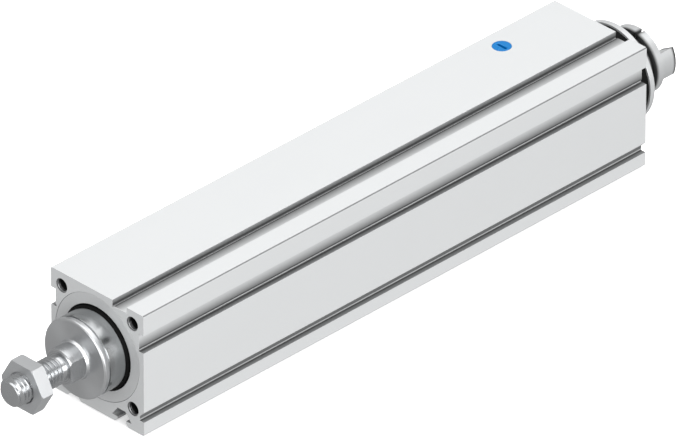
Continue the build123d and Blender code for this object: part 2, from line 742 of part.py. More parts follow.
def hub_clamp_screw():
    seat = CLAMP_SCREW_HEAD_SEAT
    head_top = seat + CLAMP_SCREW_HEAD_LENGTH
    screw = on_clamp_screw(seat, head_top, CLAMP_SCREW_HEAD_R)
    screw += on_clamp_screw(seat - CLAMP_SCREW_LENGTH, seat, CLAMP_SCREW_R)
    hexagon = RegularPolygon(CLAMP_SCREW_KEY / 2, CLAMP_SCREW_SIDES, major_radius=False)
    socket = extrude(hexagon, amount=CLAMP_SCREW_KEY_DEPTH)
    place = Pos(CLAMP_SCREW_X, CLAMP_SCREW_FROM_AXIS, head_top - CLAMP_SCREW_KEY_DEPTH)
    return screw - Rot(HUB_SLIT_ANGLE, 0, 0) * place * socket


os.makedirs("parts", exist_ok=True)
write("profile_housing", profile_housing())
write("filler_plug", filler_plug())
write("front_bearing_cap", front_bearing_cap())
write("wiper_ring", wiper_ring())
write("rod_guide_bush", rod_guide_bush())
write("front_cap_seal", cap_seal_ring(FRONT - CAP_LENGTH / 2))
write("front_buffer", buffer_ring(FRONT_CAP_REAR - BUFFER_LENGTH))
write("rear_buffer", buffer_ring(REAR_CAP_FRONT))
write("rear_bearing_cap", rear_bearing_cap())
write("rear_cap_seal", cap_seal_ring(REAR + CAP_LENGTH / 2))
write("spigot_seal", spigot_seal())
write("bearing_clamp_ring", bearing_clamp_ring())
write("bearing_outer_rings", *bearing_rings(BEARING_R - BEARING_RING_WALL, BEARING_R))
write("bearing_inner_rings", *bearing_rings(BEARING_BORE_R, BEARING_BORE_R + BEARING_RING_WALL))
write("bearing_balls", *bearing_balls())
write("bearing_cages", *bearing_cages())
write("bearing_lock_nut", bearing_lock_nut())
write("ball_screw", ball_screw())
write("screw_guide_ring", screw_guide_ring())
write("coupling_hub", coupling_hub())
write("hub_clamp_screw", hub_clamp_screw())
write("ball_nut", ball_nut())
write("nut_balls", *nut_balls())
write("ball_return_caps", *ball_return_caps())
write("nut_retainer", nut_retainer())
write("piston", piston())
write("guide_ring", guide_ring())
write("magnet_ring", magnet_ring())
write("piston_rod", piston_rod())
write("rod_end_plug", rod_end_plug())
write("jam_nut", jam_nut())
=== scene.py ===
import json
import math

import bmesh
import bpy
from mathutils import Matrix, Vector


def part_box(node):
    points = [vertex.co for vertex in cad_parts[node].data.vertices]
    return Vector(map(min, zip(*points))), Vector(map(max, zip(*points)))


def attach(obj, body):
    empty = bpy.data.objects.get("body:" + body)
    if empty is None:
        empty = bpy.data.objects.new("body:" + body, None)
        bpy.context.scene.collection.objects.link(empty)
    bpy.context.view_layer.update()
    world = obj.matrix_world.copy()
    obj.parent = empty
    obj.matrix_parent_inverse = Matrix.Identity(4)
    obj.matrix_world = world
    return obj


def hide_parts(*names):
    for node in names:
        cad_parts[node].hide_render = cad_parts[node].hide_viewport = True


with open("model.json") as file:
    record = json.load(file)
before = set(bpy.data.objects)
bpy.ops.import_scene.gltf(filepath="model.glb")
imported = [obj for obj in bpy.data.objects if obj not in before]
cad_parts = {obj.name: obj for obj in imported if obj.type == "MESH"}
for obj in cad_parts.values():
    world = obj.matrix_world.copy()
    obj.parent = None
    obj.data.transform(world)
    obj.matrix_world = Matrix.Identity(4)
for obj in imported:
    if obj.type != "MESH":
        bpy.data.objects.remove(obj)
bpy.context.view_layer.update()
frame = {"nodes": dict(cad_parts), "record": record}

MM = 0.001


# Places read from the frame, in metres. X is the rod axis, and the housing's front face is at zero.

HOUSING_LOW, HOUSING_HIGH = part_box("profile_housing")
ROD_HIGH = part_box("piston_rod")[1]
PLUG_LOW, PLUG_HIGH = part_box("rod_end_plug")
NUT_LOW, NUT_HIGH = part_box("jam_nut")
WIPER_LOW, WIPER_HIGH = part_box("wiper_ring")
HUB_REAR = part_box("coupling_hub")[0][0]

MOUNTS = {mount["name"]: mount["dims"] for mount in frame["record"]["mounts"]}
FRONT_HOLE_R = MOUNTS["front_holes"]["hole_r_mm"] * MM
REAR_HOLE_R = MOUNTS["rear_holes"]["hole_r_mm"] * MM
HOLE_PLACE = MOUNTS["front_holes"]["spacing_x_mm"] / 2 * MM

HOUSING_FRONT = 0.0
HOUSING_REAR = HOUSING_LOW[0]
BASE = HOUSING_LOW[2]
WIDTH = HOUSING_HIGH[1] - HOUSING_LOW[1]
ROD_R = ROD_HIGH[1]
ROD_FRONT = ROD_HIGH[0]
THREAD_TIP = PLUG_HIGH[0]


# Camera and light

VIEW_AZIMUTH = math.radians(134.93)
VIEW_ELEVATION = math.radians(32.25)
VIEW_DISTANCE = 4.028
FOCAL_PIXELS = 15952
PHOTO_WIDTH = 678
SENSOR = 36.0
AIM = Vector((-0.080, 0, 0))
AIM_RIGHT = 0.00380
AIM_UP = 0.00202

# Name, place, width and height, power in watts, and whether the metal mirrors it
LIGHTS = (
    ("light_above", (-0.10, 0.05, 1.6), (2.6, 2.2), 31, True),
    ("light_side", (-0.05, 1.5, 0.45), (1.6, 0.8), 24, True),
    ("light_front", (1.4, 0.45, 0.40), (1.1, 0.9), 11, True),
    ("light_left", (-0.10, -1.5, 0.40), (1.8, 0.9), 16, False),
    ("light_rear", (-1.6, -0.30, 0.45), (1.0, 0.8), 12, False),
)
SKY_STRENGTH = 0.40
FLOOR_WIDTH = 6
FLOOR_GAP = 0.2 * MM
FLOOR_COLOUR = (0.95, 0.95, 0.95, 1)
FLOOR_GLOW = 0.4


def studio_camera():
    """The photo's camera, as it was fitted to the part."""
    azimuth, elevation = VIEW_AZIMUTH, VIEW_ELEVATION
    back = Vector((
        math.sin(azimuth) * math.cos(elevation),
        -math.cos(azimuth) * math.cos(elevation),
        math.sin(elevation),
    ))
    right = Vector((math.cos(azimuth), math.sin(azimuth), 0))
    up = back.cross(right)
    data = bpy.data.cameras.new("photo_camera")
    data.sensor_width = SENSOR
    data.lens = SENSOR * FOCAL_PIXELS / PHOTO_WIDTH
    data.clip_start = 0.1
    data.clip_end = 20
    camera = bpy.data.objects.new("photo_camera", data)
    bpy.context.collection.objects.link(camera)
    camera.location = AIM + right * AIM_RIGHT + up * AIM_UP + back * VIEW_DISTANCE
    camera.rotation_euler = (-back).to_track_quat("-Z", "Y").to_euler()
    bpy.context.scene.camera = camera


def soft_light(name, place, size, power, mirrored):
    """A soft light that points at the part. One that isn't mirrored only fills."""
    data = bpy.data.lights.new(name, "AREA")
    data.shape = "RECTANGLE"
    data.size, data.size_y = size
    data.energy = power
    light = bpy.data.objects.new(name, data)
    light.location = place
    light.rotation_euler = (AIM - Vector(place)).to_track_quat("-Z", "Y").to_euler()
    light.visible_glossy = mirrored
    bpy.context.collection.objects.link(light)


def studio():
    """A pale room with one large light above, and weaker ones on all four sides."""
    scene = bpy.context.scene
    scene.view_settings.view_transform = "Standard"
    world = bpy.data.worlds.new("studio")
    world.use_nodes = True
    sky = world.node_tree.nodes["Background"]
    sky.inputs["Color"].default_value = (1, 1, 1, 1)
    sky.inputs["Strength"].default_value = SKY_STRENGTH
    scene.world = world
    for light in LIGHTS:
        soft_light(*light)


def pale_floor():
    """A pale floor that glows weakly, and neither lights the part nor shows in its metal."""
    mesh = bpy.data.meshes.new("pale_floor")
    bm = bmesh.new()
    bmesh.ops.create_grid(bm, x_segments=1, y_segments=1, size=FLOOR_WIDTH / 2)
    bmesh.ops.translate(bm, vec=(0, 0, BASE - FLOOR_GAP), verts=bm.verts)
    bm.to_mesh(mesh)
    bm.free()
    floor = bpy.data.objects.new("pale_floor", mesh)
    floor.visible_diffuse = False
    floor.visible_glossy = False
    bpy.context.collection.objects.link(floor)
    paint = bpy.data.materials.new("pale_floor")
    paint.use_nodes = True
    shader = paint.node_tree.nodes["Principled BSDF"]
    shader.inputs["Base Color"].default_value = FLOOR_COLOUR
    shader.inputs["Roughness"].default_value = 0.9
    shader.inputs["Emission Color"].default_value = (1, 1, 1, 1)
    shader.inputs["Emission Strength"].default_value = FLOOR_GLOW
    mesh.materials.append(paint)


# Modelling helpers

MERGE_DISTANCE = 2e-6
TURNED_MERGE_DISTANCE = 1e-7
CUT_TOLERANCE = 1e-8
ON_PLANE = 1e-6
FLAT_ANGLE = math.radians(0.5)
BEVELLED_ANGLE = math.radians(25)
BEVEL_SEGMENTS = 2
ARC_SEGMENTS = 2
ARC_SHARE = 0.45

# A thread's flat as a share of its pitch, the pitches it starts before its cut end, and its extra turns
THREAD_FLAT = 1 / 8
LEAD_IN = 1.5
SPARE_TURNS = 2


def shade(piece, angle):
    """Smooth shading, kept sharp over edges that turn by more than the angle."""
    piece.data.shade_smooth()
    piece.data.set_sharp_from_angle(angle=math.radians(angle))
    even = piece.modifiers.new("even_normals", "WEIGHTED_NORMAL")
    even.keep_sharp = True


def finished(bm, name, body, material, smooth_angle=30):
    """Turns a bmesh into a piece that rides on a body."""
    bmesh.ops.recalc_face_normals(bm, faces=bm.faces)
    mesh = bpy.data.meshes.new(name)
    bm.to_mesh(mesh)
    bm.free()
    piece = bpy.data.objects.new(name, mesh)
    bpy.context.collection.objects.link(piece)
    mesh.materials.append(material)
    shade(piece, smooth_angle)
    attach(piece, body)
    return piece


def turned(bm, outline, steps):
    """Spins a half section, given as (x, radius) corners, about the rod axis."""
    verts = [bm.verts.new((x, r, 0)) for x, r in outline]
    edges = [bm.edges.new(pair) for pair in zip(verts, verts[1:])]
    bmesh.ops.spin(
        bm, geom=verts + edges, axis=(1, 0, 0), cent=(0, 0, 0), dvec=(0, 0, 0),
        angle=math.tau, steps=steps, use_merge=True, use_duplicate=False,
    )
    bmesh.ops.remove_doubles(bm, verts=bm.verts, dist=TURNED_MERGE_DISTANCE)


def rounded(outline, radius):
    """The outline with every corner between its ends cut by a short arc of about the radius."""
    result = [outline[0]]
    for before, corner, after in zip(outline, outline[1:], outline[2:]):
        a, b, c = Vector(before), Vector(corner), Vector(after)
        reach = min(radius, (a - b).length * ARC_SHARE, (c - b).length * ARC_SHARE)
        start = b + (a - b).normalized() * reach
        end = b + (c - b).normalized() * reach
        for k in range(ARC_SEGMENTS + 1):
            t = k / ARC_SEGMENTS
            result.append(tuple((1 - t) ** 2 * start + 2 * t * (1 - t) * b + t ** 2 * end))
    result.append(outline[-1])
    return result


def helix_strip(bm, low, high, outer_r, inner_r, pitch, steps):
    """A V thread surface about the rod axis, cut square at both ends and left open there."""
    flat = pitch * THREAD_FLAT
    flank = (pitch - 2 * flat) / 2
    xs = (0, flat, flat + flank, 2 * flat + flank, pitch)
    radii = (outer_r, outer_r, inner_r, inner_r, outer_r)
    start = low - LEAD_IN * pitch
    turns = math.ceil((high - low) / pitch) + SPARE_TURNS
    verts = [bm.verts.new((start + x, r, 0)) for x, r in zip(xs, radii)]
    edges = [bm.edges.new(pair) for pair in zip(verts, verts[1:])]
    bmesh.ops.spin(
        bm, geom=verts + edges, axis=(1, 0, 0), cent=(0, 0, 0), dvec=(pitch / steps, 0, 0),
        angle=math.tau * turns, steps=steps * turns, use_merge=False, use_duplicate=False,
    )
    bmesh.ops.remove_doubles(bm, verts=bm.verts, dist=MERGE_DISTANCE)
    for place, side in ((low, -1), (high, 1)):
        geometry = bm.verts[:] + bm.edges[:] + bm.faces[:]
        bmesh.ops.bisect_plane(
            bm, geom=geometry, dist=CUT_TOLERANCE, plane_co=(place, 0, 0), plane_no=(side, 0, 0),
            clear_outer=True,
        )


def verts_of(geometry):
    """The vertices among some bmesh geometry."""
    return [item for item in geometry if isinstance(item, bmesh.types.BMVert)]


def end_loop(bm, place):
    """The open edges that lie in the plane across the axis at a place."""
    return [
        edge for edge in bm.edges
        if len(edge.link_faces) == 1 and all(abs(v.co.x - place) < ON_PLANE for v in edge.verts)
    ]


def from_node(node, bevel):
    """A clean copy of a node's mesh with its sharp edges bevelled."""
    bm = bmesh.new()
    bm.from_mesh(frame["nodes"][node].data)
    bmesh.ops.remove_doubles(bm, verts=bm.verts, dist=MERGE_DISTANCE)
    bmesh.ops.dissolve_limit(bm, angle_limit=FLAT_ANGLE, verts=bm.verts, edges=bm.edges)
    sharp = [
        edge for edge in bm.edges
        if len(edge.link_faces) == 2 and edge.calc_face_angle(0) > BEVELLED_ANGLE
    ]
    bmesh.ops.bevel(
        bm, geom=sharp, offset=bevel, offset_type="OFFSET", segments=BEVEL_SEGMENTS, profile=0.5,
        affect="EDGES", material=-1, clamp_overlap=True,
    )
    return bm


# Materials

def new_group(name, inputs, outputs):
    """A node group with its input and output nodes. Inputs are given as (label, value)."""
    group = bpy.data.node_groups.new(name, "ShaderNodeTree")
    for label, value in inputs:
        socket = group.interface.new_socket(label, in_out="INPUT", socket_type="NodeSocketFloat")
        socket.default_value = value
    for label in outputs:
        group.interface.new_socket(label, in_out="OUTPUT", socket_type="NodeSocketFloat")
    return group, group.nodes.new("NodeGroupInput"), group.nodes.new("NodeGroupOutput")


def maths(nodes, operation, value=None):
    """A maths node, with its second value set where one is given."""
    node = nodes.new("ShaderNodeMath")
    node.operation = operation
    if value is not None:
        node.inputs[1].default_value = value
    return node


def across_axis(group, mirrored):
    """The place in the YZ plane, with the mirrored axes folded over, and the place along X."""
    place = group.nodes.new("ShaderNodeTexCoord")
    parts = group.nodes.new("ShaderNodeSeparateXYZ")
    flat = group.nodes.new("ShaderNodeCombineXYZ")
    group.links.new(place.outputs["Object"], parts.inputs["Vector"])
    for axis in ("Y", "Z"):
        source = parts.outputs[axis]
        if axis in mirrored:
            folded = maths(group.nodes, "ABSOLUTE")
            group.links.new(source, folded.inputs[0])
            source = folded.outputs["Value"]
        group.links.new(source, flat.inputs[axis])
    return flat.outputs["Vector"], parts.outputs["X"]


def smooth_fall(group, distance, reach):
    """One where the distance is zero, falling smoothly to zero at the reach."""
    fall = group.nodes.new("ShaderNodeMapRange")
    fall.interpolation_type = "SMOOTHSTEP"
    fall.inputs["To Min"].default_value = 1
    fall.inputs["To Max"].default_value = 0
    group.links.new(distance, fall.inputs["Value"])
    group.links.new(reach, fall.inputs["From Max"])
    return fall


BEHIND_FRONT_FACE = -0.08 * MM

# Each shade sets its own reach in place of this one
REACH = [("Reach", 1.0 * MM)]


def near_lines_group(name, lines, limit, mirrored="Y"):
    """One on lines that run along X through the given (y, z) places, falling to zero at the reach."""
    group, start, end = new_group(name, REACH, ["Near"])
    link = group.links.new
    flat, along = across_axis(group, mirrored)
    nearest = None
    for y, z in lines:
        distance = group.nodes.new("ShaderNodeVectorMath")
        distance.operation = "DISTANCE"
        distance.inputs[1].default_value = (0, y, z)
        link(flat, distance.inputs[0])
        if nearest is None:
            nearest = distance.outputs["Value"]
        else:
            lower = maths(group.nodes, "MINIMUM")
            link(nearest, lower.inputs[0])
            link(distance.outputs["Value"], lower.inputs[1])
            nearest = lower.outputs["Value"]
    fall = smooth_fall(group, nearest, start.outputs["Reach"])
    # The front face stays clear, and so does what lies outside the limit
    inside = maths(group.nodes, "LESS_THAN", BEHIND_FRONT_FACE)
    parts = group.nodes.new("ShaderNodeSeparateXYZ")
    farthest = maths(group.nodes, "MAXIMUM")
    under = maths(group.nodes, "LESS_THAN", limit)
    link(along, inside.inputs[0])
    link(flat, parts.inputs["Vector"])
    link(parts.outputs["Y"], farthest.inputs[0])
    link(parts.outputs["Z"], farthest.inputs[1])
    link(farthest.outputs["Value"], under.inputs[0])
    kept = fall.outputs["Result"]
    for gate in (inside, under):
        product = maths(group.nodes, "MULTIPLY")
        link(gate.outputs["Value"], product.inputs[0])
        link(kept, product.inputs[1])
        kept = product.outputs["Value"]
    link(kept, end.inputs["Near"])
    return group


def in_holes_group(name, place, radius):
    """One inside the holes of both end faces from the reach inwards, falling to zero at the face."""
    group, start, end = new_group(name, REACH, ["Near"])
    flat, along = across_axis(group, "YZ")
    distance = group.nodes.new("ShaderNodeVectorMath")
    distance.operation = "DISTANCE"
    distance.inputs[1].default_value = (0, place, place)
    within = maths(group.nodes, "LESS_THAN", radius)
    middle = maths(group.nodes, "SUBTRACT", HOUSING_REAR / 2)
    outwards = maths(group.nodes, "ABSOLUTE")
    depth = maths(group.nodes, "SUBTRACT")
    depth.inputs[0].default_value = -HOUSING_REAR / 2
    rise = group.nodes.new("ShaderNodeMapRange")
    both = maths(group.nodes, "MULTIPLY")
    link = group.links.new
    link(flat, distance.inputs[0])
    link(distance.outputs["Value"], within.inputs[0])
    link(along, middle.inputs[0])
    link(middle.outputs["Value"], outwards.inputs[0])
    link(outwards.outputs["Value"], depth.inputs[1])
    link(depth.outputs["Value"], rise.inputs["Value"])
    link(start.outputs["Reach"], rise.inputs["From Max"])
    link(within.outputs["Value"], both.inputs[0])
    link(rise.outputs["Result"], both.inputs[1])
    link(both.outputs["Value"], end.inputs["Near"])
    return group


def near_plane_group(name, place):
    """One on the plane across the rod axis at a place, falling to zero at the reach."""
    group, start, end = new_group(name, REACH, ["Near"])
    along = across_axis(group, "")[1]
    offset = maths(group.nodes, "SUBTRACT", place)
    distance = maths(group.nodes, "ABSOLUTE")
    link = group.links.new
    link(along, offset.inputs[0])
    link(offset.outputs["Value"], distance.inputs[0])
    fall = smooth_fall(group, distance.outputs["Value"], start.outputs["Reach"])
    link(fall.outputs["Result"], end.inputs["Near"])
    return group


def paint_light_and_shade(material, group, reach, share):
    """Paints shade into the material's colour, taking a share off it where the group is one; a share below
    zero paints a highlight instead.
    """
    nodes, link = material.node_tree.nodes, material.node_tree.links.new
    shader = nodes["Principled BSDF"]
    near = nodes.new("ShaderNodeGroup")
    near.node_tree = group
    near.inputs["Reach"].default_value = reach
    keep = nodes.new("ShaderNodeMapRange")
    keep.inputs["To Min"].default_value = 1
    keep.inputs["To Max"].default_value = 1 - share
    scaled = nodes.new("ShaderNodeVectorMath")
    scaled.operation = "SCALE"
    colour = shader.inputs["Base Color"].links[0].from_socket
    link(near.outputs["Near"], keep.inputs["Value"])
    link(colour, scaled.inputs[0])
    link(keep.outputs["Result"], scaled.inputs["Scale"])
    link(scaled.outputs["Vector"], shader.inputs["Base Color"])


def fine_lines_group():
    """Long fine lines along X, as extrusion or drawing leaves them, and a slow cloudiness."""
    group, start, end = new_group(
        "fine_lines", [("Across", 9000.0), ("Along", 25.0), ("Cloud Scale", 60.0)], ["Lines", "Cloud"],
    )
    place = group.nodes.new("ShaderNodeTexCoord")
    stretch = group.nodes.new("ShaderNodeCombineXYZ")
    scaled = group.nodes.new("ShaderNodeVectorMath")
    scaled.operation = "MULTIPLY"
    lines = group.nodes.new("ShaderNodeTexNoise")
    lines.inputs["Scale"].default_value = 1.0
    lines.inputs["Detail"].default_value = 2.0
    cloud = group.nodes.new("ShaderNodeTexNoise")
    cloud.inputs["Detail"].default_value = 3.0
    link = group.links.new
    link(start.outputs["Along"], stretch.inputs["X"])
    link(start.outputs["Across"], stretch.inputs["Y"])
    link(start.outputs["Across"], stretch.inputs["Z"])
    link(place.outputs["Object"], scaled.inputs[0])
    link(stretch.outputs["Vector"], scaled.inputs[1])
    link(scaled.outputs["Vector"], lines.inputs["Vector"])
    link(place.outputs["Object"], cloud.inputs["Vector"])
    link(start.outputs["Cloud Scale"], cloud.inputs["Scale"])
    link(lines.outputs["Fac"], end.inputs["Lines"])
    link(cloud.outputs["Fac"], end.inputs["Cloud"])
    return group


def turning_marks_group():
    """Rings about the rod axis, as a lathe tool leaves them."""
    group, start, end = new_group(
        "turning_marks", [("Rings", 9000.0), ("Steps", 9000.0)], ["Marks", "Cloud"],
    )
    place = group.nodes.new("ShaderNodeTexCoord")
    parts = group.nodes.new("ShaderNodeSeparateXYZ")
    flat = group.nodes.new("ShaderNodeCombineXYZ")
    radius = group.nodes.new("ShaderNodeVectorMath")
    radius.operation = "LENGTH"
    by_radius = maths(group.nodes, "MULTIPLY")
    by_length = maths(group.nodes, "MULTIPLY")
    where = group.nodes.new("ShaderNodeCombineXYZ")
    marks = group.nodes.new("ShaderNodeTexNoise")
    marks.inputs["Scale"].default_value = 1.0
    marks.inputs["Detail"].default_value = 2.0
    cloud = group.nodes.new("ShaderNodeTexNoise")
    cloud.inputs["Scale"].default_value = 300.0
    link = group.links.new
    link(place.outputs["Object"], parts.inputs["Vector"])
    link(parts.outputs["Y"], flat.inputs["Y"])
    link(parts.outputs["Z"], flat.inputs["Z"])
    link(flat.outputs["Vector"], radius.inputs[0])
    link(radius.outputs["Value"], by_radius.inputs[0])
    link(start.outputs["Rings"], by_radius.inputs[1])
    link(parts.outputs["X"], by_length.inputs[0])
    link(start.outputs["Steps"], by_length.inputs[1])
    link(by_radius.outputs["Value"], where.inputs["X"])
    link(by_length.outputs["Value"], where.inputs["Y"])
    link(where.outputs["Vector"], marks.inputs["Vector"])
    link(place.outputs["Object"], cloud.inputs["Vector"])
    link(marks.outputs["Fac"], end.inputs["Marks"])
    link(cloud.outputs["Fac"], end.inputs["Cloud"])
    return group


def in_metres(*places):
    """Turns (y, z) places from millimetres into metres."""
    return [(y * MM, z * MM) for y, z in places]


# Lines along the side slot, the top slot, the clamping groove and the nut slot, and on the long edge,
# where shade is painted into the housing's colour, and light lines in the slots where a highlight is
# painted
SLOT_CORNERS = in_metres((14.85, 5.6), (5.6, 14.85), (14.95, -14.3), (8.5, -16))
SLOT_PAINTED_SHADE_EDGES = in_metres((14.85, 6.25), (15.1, 5.45), (6.25, 14.85), (5.45, 15.1), (15.1, -15.0))
SLOT_PAINTED_HIGHLIGHT_EDGES = in_metres((14.5, 5.58), (5.58, 14.5), (14.95, -14.65))
NUT_SLOT_MIDDLE = in_metres((8.5, -16.4))
LONG_EDGE = in_metres((16.35, 16.35))
UNDER_FACES = WIDTH / 2 - 0.06 * MM
HOLE_SHADE_R = FRONT_HOLE_R + 0.02 * MM

# Where shade is painted on the hub: its ring's front, the end of its jaw, and lines across its slit
HUB_RING_FRONT = -191.2 * MM
JAW_END = HUB_REAR + 0.6 * MM
HUB_SLIT_ANGLE = math.radians(79)
HUB_SLIT_RADII = (7.0, 7.5, 8.0, 8.5, 9.0, 9.5)
HUB_SLIT = in_metres(*[
    (radius * math.cos(HUB_SLIT_ANGLE), radius * math.sin(HUB_SLIT_ANGLE)) for radius in HUB_SLIT_RADII
])

FINE_LINES = fine_lines_group()
TURNING_MARKS = turning_marks_group()
# Painted shade in the slots' inner corners
SLOT_SHADE = near_lines_group("slot_shade", SLOT_CORNERS, UNDER_FACES)
# Painted shade inside the nut slot
NUT_SLOT_SHADE = near_lines_group("nut_slot_shade", NUT_SLOT_MIDDLE, UNDER_FACES)
# Painted shade lines along the slots' edges
SLOT_PAINTED_SHADE_LINES = near_lines_group("slot_painted_shade_lines", SLOT_PAINTED_SHADE_EDGES, UNDER_FACES)
# Painted highlight lines on the slots' reliefs and in the clamping groove
SLOT_PAINTED_HIGHLIGHT_LINES = near_lines_group("slot_painted_highlight_lines", SLOT_PAINTED_HIGHLIGHT_EDGES, UNDER_FACES)
# Painted shade along the housing's long rounded edge
EDGE_PAINTED_SHADE = near_lines_group("edge_painted_shade", LONG_EDGE, WIDTH)
# Painted shade inside the end faces' holes, deepening away from the face
HOLE_SHADE = in_holes_group("hole_shade", HOLE_PLACE, HOLE_SHADE_R)
# Painted shade at the hub's ring front, its jaw end and its slit
RING_SHADE = near_plane_group("ring_shade", HUB_RING_FRONT)
JAW_SHADE = near_plane_group("jaw_shade", JAW_END)
SLIT_SHADE = near_lines_group("slit_shade", HUB_SLIT, WIDTH, "")

BUMP_DEPTH = 0.01 * MM
ROUGHNESS_CHANGE = 0.06


def finish_of(name, colour, metallic, roughness, pattern, output, tint=0.06, bump=0.05, specular=0.5):
    """A material whose colour, roughness and bump follow one pattern group."""
    material = bpy.data.materials.new(name)
    material.use_nodes = True
    nodes, link = material.node_tree.nodes, material.node_tree.links.new
    shader = nodes["Principled BSDF"]
    marks = nodes.new("ShaderNodeGroup")
    marks.node_tree = pattern
    shades = nodes.new("ShaderNodeMapRange")
    shades.inputs["To Min"].default_value = 1 - tint
    shades.inputs["To Max"].default_value = 1 + tint
    colours = nodes.new("ShaderNodeVectorMath")
    colours.operation = "SCALE"
    colours.inputs[0].default_value = colour
    rough = nodes.new("ShaderNodeMapRange")
    rough.inputs["To Min"].default_value = roughness - ROUGHNESS_CHANGE
    rough.inputs["To Max"].default_value = roughness + ROUGHNESS_CHANGE
    relief = nodes.new("ShaderNodeBump")
    relief.inputs["Strength"].default_value = bump
    relief.inputs["Distance"].default_value = BUMP_DEPTH
    link(marks.outputs["Cloud"], shades.inputs["Value"])
    link(shades.outputs["Result"], colours.inputs["Scale"])
    link(colours.outputs["Vector"], shader.inputs["Base Color"])
    link(marks.outputs[output], rough.inputs["Value"])
    link(rough.outputs["Result"], shader.inputs["Roughness"])
    link(marks.outputs[output], relief.inputs["Height"])
    link(relief.outputs["Normal"], shader.inputs["Normal"])
    shader.inputs["Metallic"].default_value = metallic
    shader.inputs["Specular IOR Level"].default_value = specular
    return material


def brushed_round(material, amount):
    """The fan-shaped sheen of a surface turned about the rod axis."""
    shader = material.node_tree.nodes["Principled BSDF"]
    tangent = material.node_tree.nodes.new("ShaderNodeTangent")
    tangent.direction_type = "RADIAL"
    tangent.axis = "X"
    material.node_tree.links.new(tangent.outputs["Tangent"], shader.inputs["Tangent"])
    shader.inputs["Anisotropic"].default_value = amount


LINED = (FINE_LINES, "Lines")
CLOUDED = (FINE_LINES, "Cloud")
RINGED = (TURNING_MARKS, "Marks")

# Colour, metallic, roughness, pattern, and what differs from the usual
FINISH_VALUES = {
    "anodised_profile": ((0.575, 0.585, 0.59), 0.2, 0.46, LINED, {"tint": 0.01, "bump": 0.08}),
    "machined_aluminium": ((0.56, 0.57, 0.575), 0.35, 0.38, RINGED, {"tint": 0.03}),
    "polished_steel": ((0.38, 0.39, 0.395), 1.0, 0.22, RINGED, {"tint": 0.03, "bump": 0.03}),
    "turned_steel": ((0.50, 0.51, 0.52), 0.9, 0.26, RINGED, {"tint": 0.04}),
    "zinc_plated_steel": ((0.50, 0.51, 0.52), 0.7, 0.32, CLOUDED, {"tint": 0.05}),
    "bearing_steel": ((0.50, 0.51, 0.53), 1.0, 0.2, RINGED, {}),
    "black_rubber": ((0.005, 0.005, 0.005), 0.0, 0.55, CLOUDED, {"tint": 0.3, "specular": 0.06}),
    "buffer_rubber": ((0.05, 0.045, 0.04), 0.0, 0.6, CLOUDED, {"tint": 0.2}),
    "bush_bronze": ((0.45, 0.30, 0.16), 0.9, 0.4, RINGED, {}),
    "sliding_plastic": ((0.03, 0.03, 0.032), 0.0, 0.45, CLOUDED, {"tint": 0.2}),
    "return_plastic": ((0.02, 0.10, 0.06), 0.0, 0.45, CLOUDED, {"tint": 0.2}),
    "cage_plastic": ((0.62, 0.55, 0.38), 0.0, 0.5, CLOUDED, {"tint": 0.1}),
    "magnet": ((0.03, 0.03, 0.033), 0.2, 0.6, CLOUDED, {"tint": 0.3}),
    "blue_plastic": ((0.0, 0.15, 0.42), 0.0, 0.28, CLOUDED, {"tint": 0.08}),
    "black_oxide_steel": ((0.03, 0.03, 0.033), 0.6, 0.35, RINGED, {"tint": 0.2}),
    "tapped_thread": ((0.50, 0.51, 0.52), 0.8, 0.3, RINGED, {"tint": 0.03}),
    "machined_hub": ((0.56, 0.57, 0.575), 0.5, 0.36, RINGED, {"tint": 0.03}),
    "turned_head": ((0.60, 0.61, 0.62), 0.95, 0.30, RINGED, {"tint": 0.03}),
}
FINISHES = {
    name: finish_of(name, colour, metallic, roughness, *pattern, **extra)
    for name, (colour, metallic, roughness, pattern, extra) in FINISH_VALUES.items()
}

# Painted shade: its mask, its reach in millimetres, and its share of the colour. A share below zero paints
# a highlight instead.
PAINTED_LIGHT_AND_SHADE = {
    "anodised_profile": (
        (SLOT_SHADE, 4.4, 0.78),
        (NUT_SLOT_SHADE, 3.0, 0.85),
        (SLOT_PAINTED_SHADE_LINES, 0.4, 0.6),
        (SLOT_PAINTED_HIGHLIGHT_LINES, 0.26, -3.0),
        (EDGE_PAINTED_SHADE, 0.36, 0.8),
        (HOLE_SHADE, 0.3, 0.95),
    ),
    "tapped_thread": ((HOLE_SHADE, 1.3, 0.95),),
    "machined_hub": ((RING_SHADE, 1.3, 0.95), (JAW_SHADE, 0.95, 0.97), (SLIT_SHADE, 1.4, 0.97)),
}
# Paints each shade and highlight into its finish's colour
for name, shades in PAINTED_LIGHT_AND_SHADE.items():
    for group, reach, share in shades:
        paint_light_and_shade(FINISHES[name], group, reach * MM, share)

HEAD_SHEEN = 0.75
brushed_round(FINISHES["turned_head"], HEAD_SHEEN)


def dress_frame():
    """Every node of the frame takes the detailed finish of its material slot."""
    for entry in frame["record"]["subparts"]:
        node = frame["nodes"][entry["node"]]
        node.data.materials.clear()
        node.data.materials.append(FINISHES[entry["material_slot"]])


# Bevelled copies of plain nodes

FINE_BEVEL = 0.12 * MM
BROAD_BEVEL = 0.15 * MM
SEAL_BEVEL = 0.2 * MM


def bevelled(node, name, body, slot, bevel, finish=None):
    """A bevelled copy stands for a plain node, in its slot's finish unless another one is named."""
    bm = from_node(node, bevel)
    piece = finished(bm, name, body, FINISHES[finish or slot])
    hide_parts(node)


# Threads in the end holes

END_THREAD_HEIGHT = 0.3 * MM
END_THREAD_PITCH = 0.7 * MM
END_THREAD_LENGTH = 8.0 * MM
END_THREAD_SETBACK = 0.35 * MM
END_THREAD_GAP = 0.005 * MM


